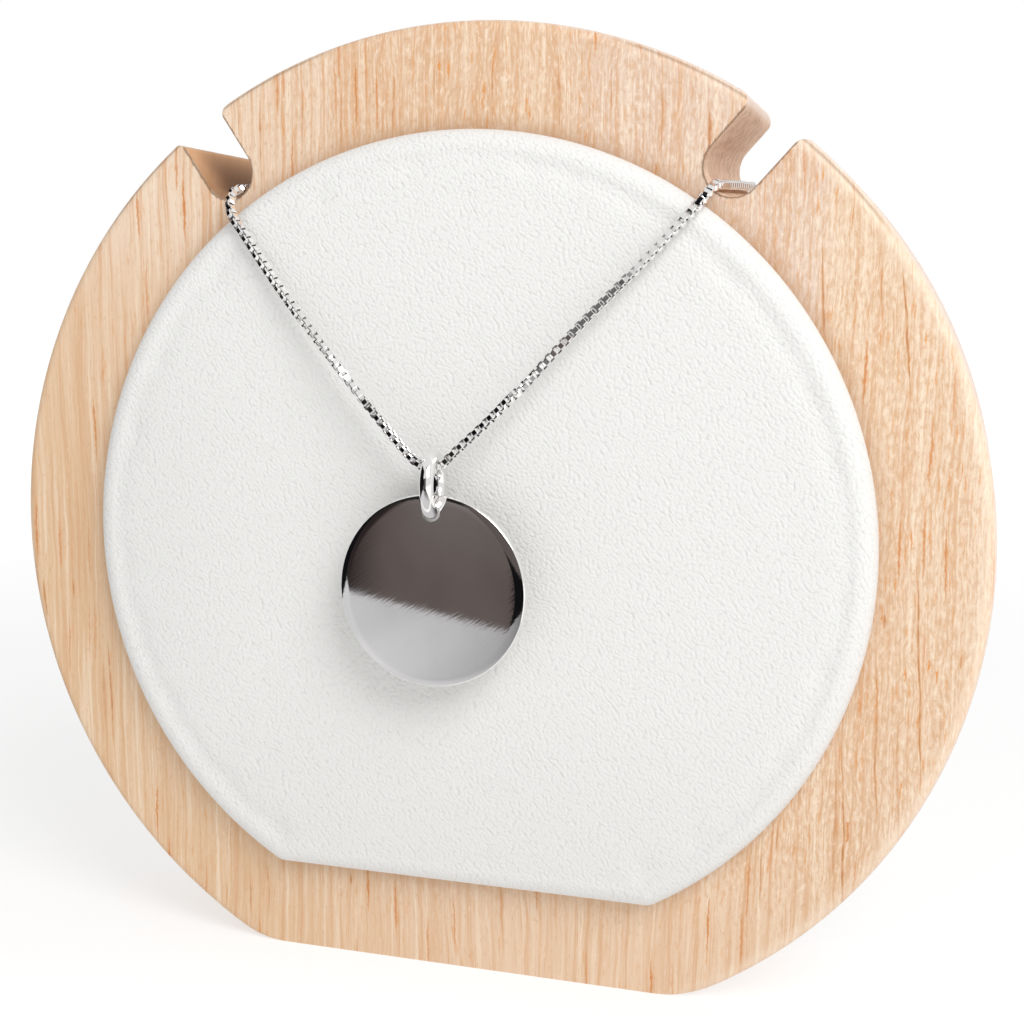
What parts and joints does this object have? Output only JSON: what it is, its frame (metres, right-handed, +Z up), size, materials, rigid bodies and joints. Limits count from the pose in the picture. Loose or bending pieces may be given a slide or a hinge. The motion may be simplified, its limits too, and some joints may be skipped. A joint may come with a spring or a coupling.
{
  "type": "medallion necklace on a round wooden display stand",
  "caption": "Plain round medallion on a thick bail ring and a fine box chain, hung over a padded round wooden display board with two notches for the chain",
  "frame": {"origin": "bottom centre of the bounding box: Z = 0 is the table, X = 0 is the middle of the board, Y = 0 is halfway between the bail ring's front and the clasp's back", "axes": "X across the board, viewer's right positive; Y from the pendant in front to the clasp behind; Z up"},
  "size_m": [0.132, 0.0522, 0.1243],
  "materials": {
    "board_wood": "satin",
    "pad_cover": "matte",
    "silver": "polished",
    "chain_silver": "polished"
  },
  "bodies": {
    "stand": {"stand_board": "board_wood", "pad": "pad_cover", "chain": "chain_silver", "clasp": "silver", "clasp_link": "silver", "end_ring": "silver"},
    "pendant": {"bail_ring": "silver", "medallion": "silver"}
  },
  "joints": [
    {"name": "pendant_swing", "type": "hinge", "parent": "stand", "child": "pendant", "pos_m": [-0.0017, -0.0217, 0.06875], "axis": [-1, 0, 0], "range_deg": [0, 60]}
  ]
}
